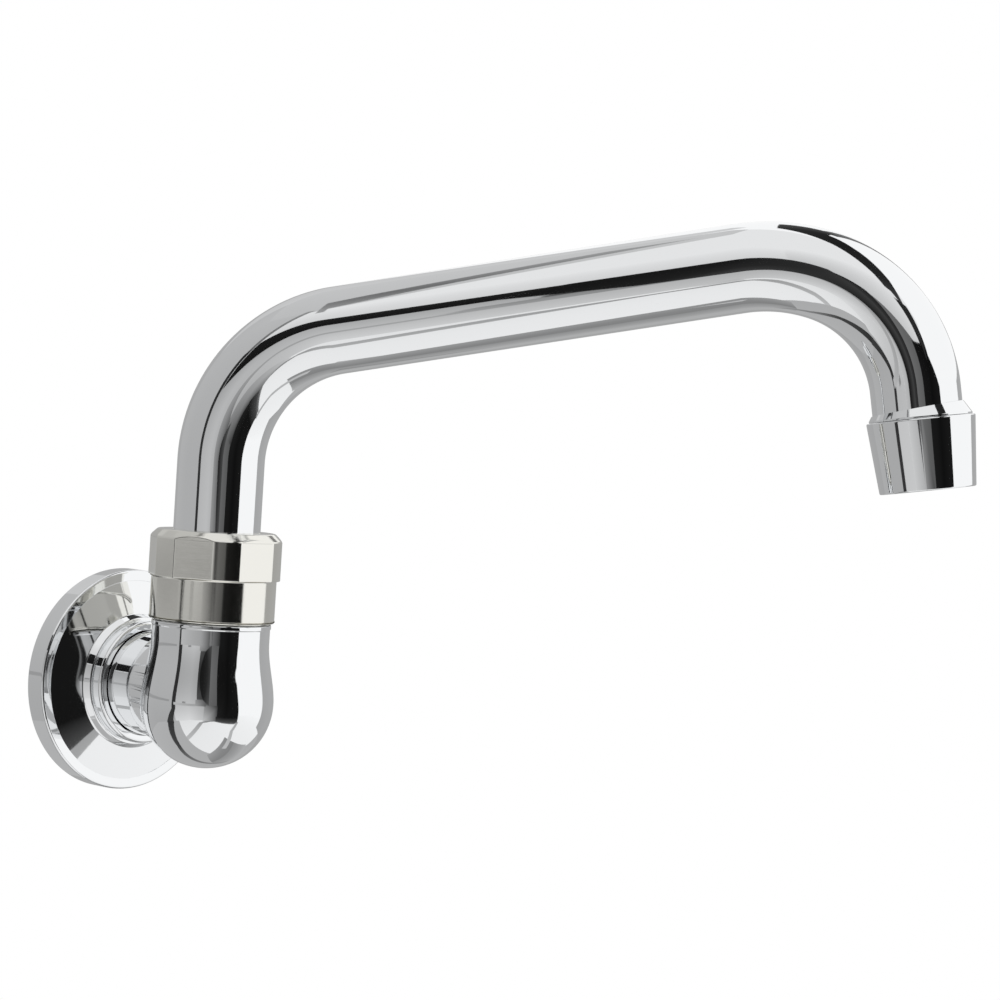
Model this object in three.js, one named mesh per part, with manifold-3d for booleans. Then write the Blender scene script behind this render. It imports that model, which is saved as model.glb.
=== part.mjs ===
// A wall-mounted kitchen faucet with one inlet and a swing spout.
//
// Frame: millimetres, +Z up. The wall is the plane Y = 0 and the faucet stands out of it towards -Y.
// The origin is the centre of the flange's back face, on the axis of the inlet leg.
// The upright axis that the spout swings about passes through X = 0, Y = -wallToSpoutAxis.

import * as THREE from "three";
import { mergeVertices } from "three/addons/utils/BufferGeometryUtils.js";
import Module from "manifold-3d";

const wasm = await Module();
wasm.setup();

// ---------------------------------------------------------------- driving dimensions

// Clearances.
const runningGap = 0.3; // between turned pieces that fit one inside the other
const sealGap = 0.2; // round a rubber ring in its groove

// Where the two axes lie.
const wallToSpoutAxis = 42.5;
const swingAngle = 35.5; // degrees from straight out of the wall towards +X, as photographed

// Wall flange.
const flangeRadius = 33;
const flangeRimDepth = 6.5;
const flangeLipWidth = 3.2;
const flangeLipRise = 0.8;
const flangeFaceDrop = 0.35;
const flangeFaceRise = 2.8;
const flangeWall = 1.8;
const hubRadius = 20.1;
const hubFrontRadius = 18.9;
const hubFrontDepth = 11.7;
const hubEdgeRound = 0.7;
const gasketWidth = 5;
const gasketThickness = 1.6;

// Lock collar that holds the flange against the wall, and its set screw.
const collarLength = 3.9;
const collarRadius = 18.3;
const collarEdgeRound = 1.1;
const setScrewRadius = 1.25;
const setScrewLength = 2.1;
const setScrewSocketFlats = 1.3;
const setScrewSocketDepth = 1.2;

// Elbow body: inlet leg and upright shell.
const legRadius = 15.6;
const legBackOffset = 2; // the leg stops this far in front of the wall
const bossRadius = 16.7; // as-cast boss between the turned leg and the shell
const bossFrontDepth = 26;
const bossEdgeRound = 0.8;
const inletSocketRadius = 10.3;
const inletSocketDepth = 18;
const waterwayRadius = 8;
const shellRadius = 19.5;
const shellBottomCentre = -2.7; // height of the centre of the round bottom
const shellTopRadius = 17.2;
const shellTaperTop = 15;
const shellTopHeight = 20.8;
const shellBeadHeight = 1.5;
const shellBeadRise = 0.25;
const shellTaperSteps = 5;
const neckHeight = 16.2;
const neckBoreRadius = 11.7;
const neckBoreDepth = 17;

// Inlet washer and screen.
const inletWasherThickness = 2;
const inletWasherBore = 7;
const screenThickness = 0.6;
const inletScreenHoleRadius = 1;
const inletScreenHolePitch = 2.9;

// Coupling nut: skirt below, hexagon above.
const skirtRadius = 18.25;
const skirtHeight = 12.3;
const skirtEdgeRound = 0.5;
const nutSeatGap = 0.4; // between the skirt and the shell's top
const hexFlats = 36.9;
const hexCorners = 38.8;
const hexHeight = 13.7;
const hexTopChamfer = 2.2;
const hexTopLand = 17.1;
const hexTurn = 0; // degrees of one corner from +X, as photographed

// Spout foot.
const washerThickness = 1;
const washerTubeGap = 0.5;
const washerWidth = 1.7;
const footFlangeHeight = 3.6;
const footSocketDepth = 1.6;
const stemLength = 14.5;
const stemBoreRadius = 7.9;
const stemGrooveWidth = 2.4;
const stemGrooveDepth = 1.9;
const stemGroovePitch = 5;
const stemFirstGroove = 4;

// Spout tube.
const tubeRadius = 12.7;
const tubeWall = 1.2;
const riserTop = 67.5; // height of the first bend's start above the leg axis
const firstBendRadius = 41;
const runSlope = 11.8;
const runLength = 117;
const secondBendRadius = 51;
const secondBendAngle = 27.3;
const dropBendRadius = 38.3;
const outletLean = 9.5;
const outletTail = 7.9;

// Outlet bush and aerator.
const bushLength = 9;
const bushShoulder = 4.9; // height of the sloped shoulder
const bushShoulderStep = 1.8; // the shoulder's foot stands this far out of the tube
const bushThreadStep = 0.7; // the thread is this much smaller than the tube
const bushWall = 1.8;
const bushOffset = 0.65; // the bush sits this far out of the tube's axis, away from the faucet
const aeratorTopStep = 2.6; // the housing's top stands this far out of the tube
const aeratorTaper = 1.75;
const aeratorHeight = 20.2;
const aeratorEdgeRound = 0.5;
const aeratorLipWidth = 1.9;
const aeratorLipHeight = 1.6;
const aeratorWasherThickness = 1.4;
const aeratorWasherWidth = 1.8;
const mixerWall = 1.1;
const mixerFloor = 1;
const mixerSlots = 8;
const mixerSlotWidth = 1.4;
const mixerSlotDepth = 3;
const flowDiscThickness = 1.2;
const flowDiscHoles = 12;
const flowDiscHoleRadius = 0.75;
const flowDiscHoleCircle = 5.6;
const domeRise = 2.2;
const domeThickness = 0.6;
const outletScreenHoleRadius = 1.1;
const outletScreenHolePitch = 3.4;

// Fineness of the round surfaces.
const roundSteps = 40;
const smallRoundSteps = 28;
const ringSectionSides = 6;
const holeSides = 8;
const arcSteps = 3;
const tubeSides = 28;
const tubeSteps = 28;

// ---------------------------------------------------------------- derived places

const washerInnerRadius = tubeRadius + washerTubeGap;
const neckRadius = washerInnerRadius + washerWidth + runningGap;
const bushShoulderRadius = tubeRadius + bushShoulderStep;
const bushThreadRadius = tubeRadius - bushThreadStep;
const bushBore = bushThreadRadius - bushWall;
const aeratorTopRadius = tubeRadius + aeratorTopStep;
const aeratorBottomRadius = aeratorTopRadius - aeratorTaper;
const hubBackDepth = flangeRimDepth + flangeLipRise - flangeFaceDrop + flangeFaceRise;
const collarBackDepth = hubFrontDepth;
const legBoreRadius = legRadius + runningGap; // bore of flange and collar round the leg
const skirtBottom = shellTopHeight + nutSeatGap;
const hexBottom = skirtBottom + skirtHeight;
const hexTop = hexBottom + hexHeight;
const neckTop = shellTopHeight + neckHeight;
const nutBoreRadius = neckRadius + runningGap;
const footBottom = neckTop + washerThickness;
const footTop = footBottom + footFlangeHeight;
const nutCeiling = footTop + washerThickness;
const tubeBottom = footTop - footSocketDepth;
const stemRadius = neckBoreRadius - runningGap;

// ---------------------------------------------------------------- materials

function metal(color, roughness = 0.12) {
  return new THREE.MeshStandardMaterial({ color, roughness, metalness: 1 });
}

function soft(color, roughness = 0.7) {
  return new THREE.MeshStandardMaterial({ color, roughness, metalness: 0 });
}

const chromeColor = 0xd9dcdf;
const nickelColor = 0xa6a497;
const brassColor = 0xc9a862;
const steelColor = 0xb4b7b8;
const rubberColor = 0x1d1d1e;
const acetalColor = 0xe9e7de;
const plasticColor = 0x8d9296;

// ---------------------------------------------------------------- shape helpers

const radians = THREE.MathUtils.degToRad;

// Turns a closed profile of [radius, height] points about +Z. The profile runs up its outer side.
function turned(profile, segments = roundSteps) {
  const points = profile.map(([radius, height]) => new THREE.Vector2(radius, height));
  return new THREE.LatheGeometry(points, segments).rotateX(Math.PI / 2);
}

// The points of an arc in a profile, from one angle to another in degrees.
function arc(radius, height, size, fromAngle, toAngle, steps = arcSteps) {
  return Array.from({ length: steps + 1 }, (_, i) => {
    const angle = radians(fromAngle + ((toAngle - fromAngle) * i) / steps);
    return [radius + size * Math.cos(angle), height + size * Math.sin(angle)];
  });
}

// A plain ring or bush between two heights.
function ring(inner, outer, bottom, top, segments = roundSteps) {
  return turned(
    [
      [inner, bottom],
      [outer, bottom],
      [outer, top],
      [inner, top],
      [inner, bottom],
    ],
    segments,
  );
}

// A plain round bar between two heights.
function bar(radius, bottom, top, segments = roundSteps) {
  return turned(
    [
      [0, bottom],
      [radius, bottom],
      [radius, top],
      [0, top],
    ],
    segments,
  );
}

// A torus of the given section about +Z, at a height.
function torus(radius, section, height) {
  const geometry = new THREE.TorusGeometry(radius, section, ringSectionSides, smallRoundSteps);
  return geometry.translate(0, 0, height);
}

// A closed geometry as a solid that can be cut and joined.
function solid(geometry) {
  const bare = geometry.index ? geometry.toNonIndexed() : geometry.clone();
  bare.deleteAttribute("normal");
  bare.deleteAttribute("uv");
  const merged = mergeVertices(bare, 1e-4);
  return new wasm.Manifold(
    new wasm.Mesh({
      numProp: 3,
      vertProperties: merged.attributes.position.array,
      triVerts: new Uint32Array(merged.index.array),
    }),
  );
}

// A solid back as a geometry.
function geometryOf(manifold) {
  const mesh = manifold.getMesh();
  const geometry = new THREE.BufferGeometry();
  geometry.setAttribute("position", new THREE.BufferAttribute(new Float32Array(mesh.vertProperties), 3));
  geometry.setIndex(new THREE.BufferAttribute(new Uint32Array(mesh.triVerts), 1));
  geometry.computeVertexNormals();
  return geometry;
}

// Cuts every tool out of a body and gives the result as a geometry.
function cut(body, ...tools) {
  return geometryOf(tools.reduce((rest, tool) => rest.subtract(solid(tool)), solid(body)));
}

function mesh(name, geometry, material) {
  const piece = new THREE.Mesh(geometry, material);
  piece.name = name;
  return piece;
}

// Centres of a triangular grid of holes that keeps inside a radius.
function holeGrid(radius, pitch) {
  const rowHeight = (pitch * Math.sqrt(3)) / 2;
  const rows = Math.ceil(radius / rowHeight);
  const centres = [];
  for (let row = -rows; row <= rows; row += 1) {
    const shift = (Math.abs(row) % 2) * (pitch / 2);
    for (let column = -rows; column <= rows; column += 1) {
      const centre = new THREE.Vector2(column * pitch + shift, row * rowHeight);
      if (centre.length() <= radius) centres.push(centre);
    }
  }
  return centres;
}

// A flat disc with round holes, standing on a height.
function perforatedDisc(radius, thickness, bottom, centres, holeRadius) {
  const disc = new THREE.Shape(circlePoints(radius, smallRoundSteps));
  disc.holes = centres.map((centre) => new THREE.Path(circlePoints(holeRadius, holeSides, centre)));
  const flat = new THREE.ExtrudeGeometry(disc, { depth: thickness, bevelEnabled: false });
  return flat.translate(0, 0, bottom);
}

// Evenly spaced points on a circle.
function circlePoints(radius, count, centre = new THREE.Vector2()) {
  return Array.from({ length: count }, (_, i) => {
    const angle = (2 * Math.PI * i) / count;
    return new THREE.Vector2(Math.cos(angle), Math.sin(angle)).multiplyScalar(radius).add(centre);
  });
}

// ---------------------------------------------------------------- wall side
// These pieces are turned about the leg axis: their height is the distance from the wall.

// Pressed cover that hides the hole in the wall: rim, rolled lip, dished face and hub.
function makeFlange() {
  const lipInner = flangeRadius - flangeLipWidth;
  const lipTop = flangeRimDepth + flangeLipRise;
  const faceEdge = lipTop - flangeFaceDrop;
  const inner = flangeRadius - flangeWall;
  const hubInner = legBoreRadius;
  return turned([
    [inner, 0],
    [flangeRadius - 0.3, 0],
    [flangeRadius, 0.3],
    ...arc(flangeRadius - 0.6, flangeRimDepth - 0.6, 0.6, 0, 75),
    [lipInner + 0.6, lipTop],
    [lipInner, faceEdge],
    [hubRadius + 0.6, hubBackDepth - 0.15],
    [hubRadius, hubBackDepth + 0.5],
    ...arc(hubFrontRadius - hubEdgeRound, hubFrontDepth - hubEdgeRound, hubEdgeRound, 0, 90),
    [hubInner, hubFrontDepth],
    [hubInner, hubBackDepth - flangeWall],
    [lipInner - 0.5, faceEdge - flangeWall],
    [inner, flangeRimDepth - flangeWall],
    [inner, 0],
  ]);
}

// Flat rubber ring inside the flange's rim, level with its back edge.
function makeFlangeGasket() {
  const outer = flangeRadius - flangeWall - runningGap;
  return ring(outer - gasketWidth, outer, 0, gasketThickness);
}

// Short collar that clamps on the leg in front of the flange's hub.
function makeCollar() {
  const front = collarBackDepth + collarLength;
  const body = turned([
    [legBoreRadius, collarBackDepth],
    [collarRadius - 0.4, collarBackDepth],
    [collarRadius, collarBackDepth + 0.4],
    ...arc(collarRadius - collarEdgeRound, front - collarEdgeRound, collarEdgeRound, 0, 90),
    [legBoreRadius, front],
    [legBoreRadius, collarBackDepth],
  ]);
  return cut(body, alongCollarScrew(bar(setScrewRadius + runningGap, -4, 4, smallRoundSteps)));
}

// Moves a piece that lies along Z at the origin to the set screw's place under the collar.
// Its top end comes to face down and its bottom end meets the leg.
function alongCollarScrew(geometry) {
  const middle = collarBackDepth + collarLength / 2;
  const centreRadius = legBoreRadius + setScrewLength / 2;
  return geometry.rotateX(Math.PI / 2).translate(0, -centreRadius, middle);
}

// Headless set screw with a hexagonal socket in its outer end.
function makeSetScrew() {
  const half = setScrewLength / 2;
  const blank = bar(setScrewRadius, -half, half, 20);
  const socket = new THREE.CylinderGeometry(
    setScrewSocketFlats / Math.sqrt(3),
    setScrewSocketFlats / Math.sqrt(3),
    2 * setScrewSocketDepth,
    6,
  );
  socket.rotateX(Math.PI / 2).translate(0, 0, half);
  return alongCollarScrew(cut(blank, socket));
}

// Rubber washer at the bottom of the inlet socket.
function makeInletWasher() {
  const seat = legBackOffset + inletSocketDepth;
  return ring(inletWasherBore, inletSocketRadius - runningGap, seat - inletWasherThickness, seat);
}

// Perforated disc that keeps grit out, lying on the washer.
function makeInletScreen() {
  const top = legBackOffset + inletSocketDepth - inletWasherThickness;
  const radius = inletSocketRadius - runningGap;
  const centres = holeGrid(inletWasherBore - inletScreenHoleRadius, inletScreenHolePitch);
  return perforatedDisc(radius, screenThickness, top - screenThickness, centres, inletScreenHoleRadius);
}

// ---------------------------------------------------------------- elbow body

// Upright shell with its round bottom, top bead and threaded neck.
function shellBlank() {
  const taper = Array.from({ length: shellTaperSteps + 1 }, (_, i) => {
    const share = i / shellTaperSteps;
    const ease = share * share * (3 - 2 * share);
    const height = shellBottomCentre + share * (shellTaperTop - shellBottomCentre);
    return [shellRadius + ease * (shellTopRadius - shellRadius), height];
  });
  const beadBottom = shellTopHeight - shellBeadHeight;
  const beadRadius = shellTopRadius + shellBeadRise;
  return turned([
    [0, shellBottomCentre - shellRadius],
    ...arc(0, shellBottomCentre, shellRadius, -90, 0, 9).slice(1, -1),
    ...taper,
    [shellTopRadius, beadBottom - 0.2],
    [beadRadius, beadBottom + 0.1],
    [beadRadius, shellTopHeight - 0.5],
    [beadRadius - 0.5, shellTopHeight],
    [neckRadius, shellTopHeight],
    [neckRadius, neckTop - 0.6],
    [neckRadius - 0.6, neckTop],
    [0, neckTop],
  ]);
}

// Horizontal leg, turned down for the flange, and the wider boss that it grows out of.
function legBlank() {
  const leg = turned([
    [0, legBackOffset],
    [legRadius - 0.6, legBackOffset],
    [legRadius, legBackOffset + 0.6],
    [legRadius, bossFrontDepth],
    ...arc(bossRadius - bossEdgeRound, bossFrontDepth + bossEdgeRound, bossEdgeRound, -80, 0),
    [bossRadius, wallToSpoutAxis],
    [0, wallToSpoutAxis],
  ]);
  return leg.rotateX(Math.PI / 2);
}

// One casting: leg and shell joined, bored from the wall side and from the top.
function makeElbowBody() {
  const shell = solid(shellBlank().translate(0, -wallToSpoutAxis, 0));
  const inletDepth = legBackOffset + inletSocketDepth;
  const cuts = [
    bar(inletSocketRadius, -1, inletDepth).rotateX(Math.PI / 2),
    bar(waterwayRadius, inletDepth - 1, wallToSpoutAxis + waterwayRadius).rotateX(Math.PI / 2),
    bar(waterwayRadius, 0, neckTop - neckBoreDepth + 1).translate(0, -wallToSpoutAxis, 0),
    bar(neckBoreRadius, neckTop - neckBoreDepth, neckTop + 1).translate(0, -wallToSpoutAxis, 0),
  ];
  const joined = shell.add(solid(legBlank()));
  return geometryOf(cuts.reduce((rest, tool) => rest.subtract(solid(tool)), joined));
}

// ---------------------------------------------------------------- coupling nut and swivel
// These pieces are turned about the spout's swing axis: their height is that above the leg axis.

// A hexagon of the given width across flats, its corners turned down to a circle.
function hexBar(bottom, top) {
  const corner = hexFlats / Math.sqrt(3);
  const outline = new THREE.Shape();
  for (let i = 0; i < 6; i += 1) {
    const angle = radians(60 * i);
    const point = [corner * Math.cos(angle), corner * Math.sin(angle)];
    if (i === 0) outline.moveTo(...point);
    else outline.lineTo(...point);
  }
  outline.closePath();
  const prism = new THREE.ExtrudeGeometry(outline, { depth: top - bottom, bevelEnabled: false });
  return prism.translate(0, 0, bottom);
}

// Nut with a hexagon above and a plain skirt below, threaded on the body's neck.
function makeCouplingNut() {
  const cornerRadius = hexCorners / 2;
  const hexagon = solid(hexBar(hexBottom, hexTop)).intersect(
    solid(
      turned([
        [0, hexBottom - 1],
        [cornerRadius, hexBottom - 1],
        [cornerRadius, hexTop - hexTopChamfer],
        [hexTopLand, hexTop],
        [0, hexTop],
      ]),
    ),
  );
  const skirt = solid(
    turned([
      [0, skirtBottom],
      [skirtRadius - skirtEdgeRound, skirtBottom],
      ...arc(skirtRadius - skirtEdgeRound, skirtBottom + skirtEdgeRound, skirtEdgeRound, -90, 0, 4).slice(1),
      [skirtRadius, hexBottom],
      [skirtRadius - 0.4, hexBottom + 0.4],
      [0, hexBottom + 0.4],
    ]),
  );
  const nut = hexagon
    .add(skirt)
    .subtract(solid(bar(nutBoreRadius, skirtBottom - 1, nutCeiling)))
    .subtract(solid(bar(tubeRadius + runningGap, nutCeiling - 1, hexTop + 1)));
  return geometryOf(nut).rotateZ(radians(hexTurn));
}

// Thin bearing washer, one above and one below the foot's flange.
function makeBearingWasher(bottom) {
  return ring(washerInnerRadius, neckRadius - runningGap, bottom, bottom + washerThickness);
}

// Middle height of each groove in the stem.
function grooveHeights() {
  return [0, 1].map((i) => footBottom - stemFirstGroove - i * stemGroovePitch);
}

// Foot of the spout: a flange under the nut's ceiling and a grooved stem down in the neck.
function makeSwivelFoot() {
  const flangeOuter = neckRadius - runningGap;
  const socket = tubeRadius + runningGap;
  const stemBottom = footBottom - stemLength;
  const grooveFloor = stemRadius - stemGrooveDepth;
  const grooves = grooveHeights()
    .reverse()
    .flatMap((height) => [
      [stemRadius, height - stemGrooveWidth / 2],
      [grooveFloor, height - stemGrooveWidth / 2],
      [grooveFloor, height + stemGrooveWidth / 2],
      [stemRadius, height + stemGrooveWidth / 2],
    ]);
  return turned([
    [stemBoreRadius, stemBottom],
    [stemRadius - 0.8, stemBottom],
    [stemRadius, stemBottom + 0.8],
    ...grooves,
    [stemRadius, footBottom],
    [flangeOuter, footBottom],
    [flangeOuter, footTop],
    [socket, footTop],
    [socket, tubeBottom],
    [stemBoreRadius, tubeBottom],
    [stemBoreRadius, stemBottom],
  ]);
}

function makeStemRing(height) {
  const grooveFloor = stemRadius - stemGrooveDepth;
  const room = neckBoreRadius - grooveFloor;
  return torus(grooveFloor + room / 2, room / 2 - sealGap, height);
}

// ---------------------------------------------------------------- spout
// The spout is drawn in its own plane: X is the reach from the swing axis and Z is the height.

// The stretches of the centre line, each with the turn it makes and its radius or length.
function spoutStretches() {
  const fullTurn = 90 - runSlope;
  const dropTurn = runSlope + 90 - outletLean - secondBendAngle;
  return [
    { length: riserTop - tubeBottom },
    { turn: fullTurn, radius: firstBendRadius },
    { length: runLength },
    { turn: secondBendAngle, radius: secondBendRadius },
    { turn: dropTurn, radius: dropBendRadius },
    { length: outletTail },
  ];
}

// Centre line from the foot to the outlet, with the point and heading where it ends.
function spoutCentreLine() {
  const path = new THREE.CurvePath();
  const at = new THREE.Vector3(0, 0, tubeBottom);
  let heading = 90;
  for (const stretch of spoutStretches()) {
    const start = at.clone();
    if (stretch.length) {
      const step = new THREE.Vector3(Math.cos(radians(heading)), 0, Math.sin(radians(heading)));
      at.addScaledVector(step, stretch.length);
      path.add(new THREE.LineCurve3(start, at.clone()));
    } else {
      path.add(bendCurve(start, heading, stretch));
      at.copy(path.curves.at(-1).getPoint(1));
      heading -= stretch.turn;
    }
  }
  return { path, end: at, heading };
}

// A bend that turns clockwise in the spout's plane by the stretch's turn.
function bendCurve(start, heading, stretch) {
  const curve = new THREE.Curve();
  const side = radians(heading - 90);
  const centre = new THREE.Vector3(Math.cos(side), 0, Math.sin(side)).multiplyScalar(stretch.radius).add(start);
  curve.getPoint = (share, target = new THREE.Vector3()) => {
    const angle = radians(heading + 90 - stretch.turn * share);
    return target.set(Math.cos(angle), 0, Math.sin(angle)).multiplyScalar(stretch.radius).add(centre);
  };
  return curve;
}

function makeSpoutTube(path) {
  const section = new THREE.Shape().absarc(0, 0, tubeRadius, 0, 2 * Math.PI);
  section.holes.push(new THREE.Path().absarc(0, 0, tubeRadius - tubeWall, 0, 2 * Math.PI, true));
  return new THREE.ExtrudeGeometry(section, {
    steps: tubeSteps,
    curveSegments: tubeSides / 2,
    extrudePath: path,
  });
}

// ---------------------------------------------------------------- outlet
// These pieces are turned about the outlet axis. Height 0 is the end of the tube, water runs to -Z.

const aeratorTop = -runningGap;
const aeratorBottom = aeratorTop - aeratorHeight;
const bushBottom = aeratorTop - bushLength;
const washerBottom = bushBottom - aeratorWasherThickness;

// Bush brazed round the tube's end: a sloped shoulder outside and a threaded nose below.
function makeOutletBush() {
  const socket = tubeRadius + runningGap;
  const blank = turned([
    [bushBore, bushBottom],
    [bushThreadRadius - 0.5, bushBottom],
    [bushThreadRadius, bushBottom + 0.5],
    [bushThreadRadius, aeratorTop + 0.1],
    [bushShoulderRadius, aeratorTop + 0.1],
    [bushShoulderRadius, aeratorTop + 0.6],
    [socket + 0.35, bushShoulder],
    [bushBore, bushShoulder],
    [bushBore, bushBottom],
  ]);
  return cut(blank, bar(socket, 0, bushShoulder + 1).translate(-bushOffset, 0, 0));
}

// Tapered housing screwed on the bush, with a lip at the bottom that carries the insert.
function makeAeratorHousing() {
  const bore = bushThreadRadius + runningGap;
  const lipBore = bore - aeratorLipWidth;
  return turned([
    [lipBore, aeratorBottom],
    ...arc(aeratorBottomRadius - aeratorEdgeRound, aeratorBottom + aeratorEdgeRound, aeratorEdgeRound, -90, 0, 4),
    ...arc(aeratorTopRadius - aeratorEdgeRound, aeratorTop - aeratorEdgeRound, aeratorEdgeRound, 5, 90, 4),
    [bore, aeratorTop],
    [bore, aeratorBottom + aeratorLipHeight],
    [lipBore, aeratorBottom + aeratorLipHeight],
    [lipBore, aeratorBottom],
  ]);
}

function makeAeratorWasher() {
  return ring(bushThreadRadius - aeratorWasherWidth, bushThreadRadius, washerBottom, bushBottom, smallRoundSteps);
}

const insertRadius = bushThreadRadius - runningGap;
const mixerTop = washerBottom - domeThickness;
const mixerBottom = aeratorBottom + aeratorLipHeight + 2 * screenThickness + runningGap;

// Domed grit screen under the washer.
function makeAeratorDome() {
  const brim = washerBottom - domeThickness;
  const crown = insertRadius - 3.4;
  const rise = (radius) => domeRise * (1 - (radius / crown) ** 2);
  const steps = [0, 0.35, 0.7, 1].map((share) => share * crown);
  const underside = steps.map((radius) => [radius, brim + rise(radius)]);
  const topside = steps.map((radius) => [radius, brim + domeThickness + rise(radius)]).reverse();
  const brimEdge = [
    [insertRadius, brim],
    [insertRadius, brim + domeThickness],
  ];
  return turned([...underside, ...brimEdge, ...topside], smallRoundSteps);
}

// Disc with a circle of jets that sets the flow, lying in the mixer's top.
function makeFlowDisc() {
  const radius = insertRadius - mixerWall - runningGap;
  const centres = circlePoints(flowDiscHoleCircle, flowDiscHoles);
  const bottom = mixerTop - 2 * flowDiscThickness;
  return perforatedDisc(radius, flowDiscThickness, bottom, centres, flowDiscHoleRadius);
}

// Cup with air slots round its wall, where the jets draw air in.
function makeMixer() {
  const inner = insertRadius - mixerWall;
  const ledge = mixerTop - 2 * flowDiscThickness;
  const profile = [
    [inner - 1.6, mixerBottom],
    [insertRadius, mixerBottom],
    [insertRadius, mixerTop],
    [inner, mixerTop],
    [inner, ledge],
    [inner - 1.2, ledge],
    [inner - 1.2, mixerBottom + mixerFloor],
    [inner - 1.6, mixerBottom + mixerFloor],
    [inner - 1.6, mixerBottom],
  ];
  const blank = turned(profile, smallRoundSteps);
  const slotHeight = mixerTop - mixerBottom - 2 * flowDiscThickness - 2 * mixerFloor;
  const slots = Array.from({ length: mixerSlots }, (_, i) => {
    const box = new THREE.BoxGeometry(2 * mixerSlotDepth, mixerSlotWidth, slotHeight);
    box.translate(insertRadius, 0, mixerBottom + mixerFloor + slotHeight / 2);
    return box.rotateZ((2 * Math.PI * i) / mixerSlots);
  });
  return cut(blank, ...slots);
}

// Flat outlet screen. The lower one lies on the housing's lip, and they are counted from there.
function makeOutletScreen(index) {
  const bottom = aeratorBottom + aeratorLipHeight + index * (screenThickness + runningGap);
  const centres = holeGrid(insertRadius - aeratorLipWidth - outletScreenHoleRadius, outletScreenHolePitch);
  return perforatedDisc(insertRadius, screenThickness, bottom, centres, outletScreenHoleRadius);
}

// ---------------------------------------------------------------- assembly

const faucet = new THREE.Group();

const wallSide = new THREE.Group();
wallSide.rotation.x = Math.PI / 2;
wallSide.add(
  mesh("wall_flange", makeFlange(), metal(chromeColor)),
  mesh("flange_gasket", makeFlangeGasket(), soft(rubberColor)),
  mesh("flange_collar", makeCollar(), metal(chromeColor)),
  mesh("collar_set_screw", makeSetScrew(), metal(steelColor, 0.35)),
  mesh("inlet_washer", makeInletWasher(), soft(rubberColor)),
  mesh("inlet_screen", makeInletScreen(), metal(steelColor, 0.35)),
);

const [upperGroove, lowerGroove] = grooveHeights();
const swivel = new THREE.Group();
swivel.position.y = -wallToSpoutAxis;
swivel.add(
  mesh("coupling_nut", makeCouplingNut(), metal(nickelColor, 0.16)),
  mesh("lower_bearing_washer", makeBearingWasher(neckTop), soft(acetalColor, 0.45)),
  mesh("upper_bearing_washer", makeBearingWasher(footTop), soft(acetalColor, 0.45)),
  mesh("swivel_foot", makeSwivelFoot(), metal(brassColor, 0.3)),
  mesh("stem_o_ring_upper", makeStemRing(upperGroove), soft(rubberColor)),
  mesh("stem_o_ring_lower", makeStemRing(lowerGroove), soft(rubberColor)),
);

// The spout's plane is turned from straight out of the wall by the swing angle.
const centreLine = spoutCentreLine();
const spout = new THREE.Group();
spout.position.y = -wallToSpoutAxis;
spout.rotation.z = radians(swingAngle - 90);
spout.add(mesh("spout_tube", makeSpoutTube(centreLine.path), metal(chromeColor, 0.08)));

const outlet = new THREE.Group();
outlet.position.copy(centreLine.end);
outlet.rotation.y = -radians(outletLean);
outlet.translateX(bushOffset);
outlet.add(
  mesh("outlet_bush", makeOutletBush(), metal(chromeColor)),
  mesh("aerator_housing", makeAeratorHousing(), metal(chromeColor)),
  mesh("aerator_washer", makeAeratorWasher(), soft(rubberColor)),
  mesh("aerator_dome_screen", makeAeratorDome(), metal(steelColor, 0.35)),
  mesh("aerator_flow_disc", makeFlowDisc(), soft(acetalColor, 0.45)),
  mesh("aerator_mixer", makeMixer(), soft(plasticColor, 0.45)),
  mesh("outlet_screen_lower", makeOutletScreen(0), metal(steelColor, 0.35)),
  mesh("outlet_screen_upper", makeOutletScreen(1), metal(steelColor, 0.35)),
);
spout.add(outlet);

faucet.add(wallSide, mesh("elbow_body", makeElbowBody(), metal(chromeColor)), swivel, spout);

export default faucet;
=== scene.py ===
"""Looks of a chrome wall faucet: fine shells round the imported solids, finishes, studio and camera.

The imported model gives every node's place. Each piece that shows is modelled again here with rounded edges
and fine round surfaces, and stands for the plain solid of the same piece. Sizes are in millimetres in the
classes and become metres when a mesh is placed. The studio's places are in metres.
"""

from __future__ import annotations

import logging
import math
from collections.abc import Iterable, Sequence
from dataclasses import dataclass
from enum import Enum

import bmesh
import bpy
from mathutils import Matrix, Vector

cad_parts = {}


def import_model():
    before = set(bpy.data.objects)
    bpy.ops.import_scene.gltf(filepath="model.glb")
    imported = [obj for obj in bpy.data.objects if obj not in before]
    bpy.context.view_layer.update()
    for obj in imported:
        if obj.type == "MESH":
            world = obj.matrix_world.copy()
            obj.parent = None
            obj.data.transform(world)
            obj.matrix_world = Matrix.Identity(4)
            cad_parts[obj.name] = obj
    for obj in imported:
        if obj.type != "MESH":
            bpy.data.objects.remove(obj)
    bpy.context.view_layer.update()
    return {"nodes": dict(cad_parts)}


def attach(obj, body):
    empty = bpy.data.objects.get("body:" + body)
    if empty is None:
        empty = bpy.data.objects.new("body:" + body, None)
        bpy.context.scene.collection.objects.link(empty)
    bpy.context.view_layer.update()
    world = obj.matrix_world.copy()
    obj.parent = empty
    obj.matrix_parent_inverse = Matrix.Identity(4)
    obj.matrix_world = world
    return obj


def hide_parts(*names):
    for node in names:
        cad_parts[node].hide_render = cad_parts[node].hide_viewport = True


LOG = logging.getLogger("wall_faucet")
MM = 0.001

# ---------------------------------------------------------------- places


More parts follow.
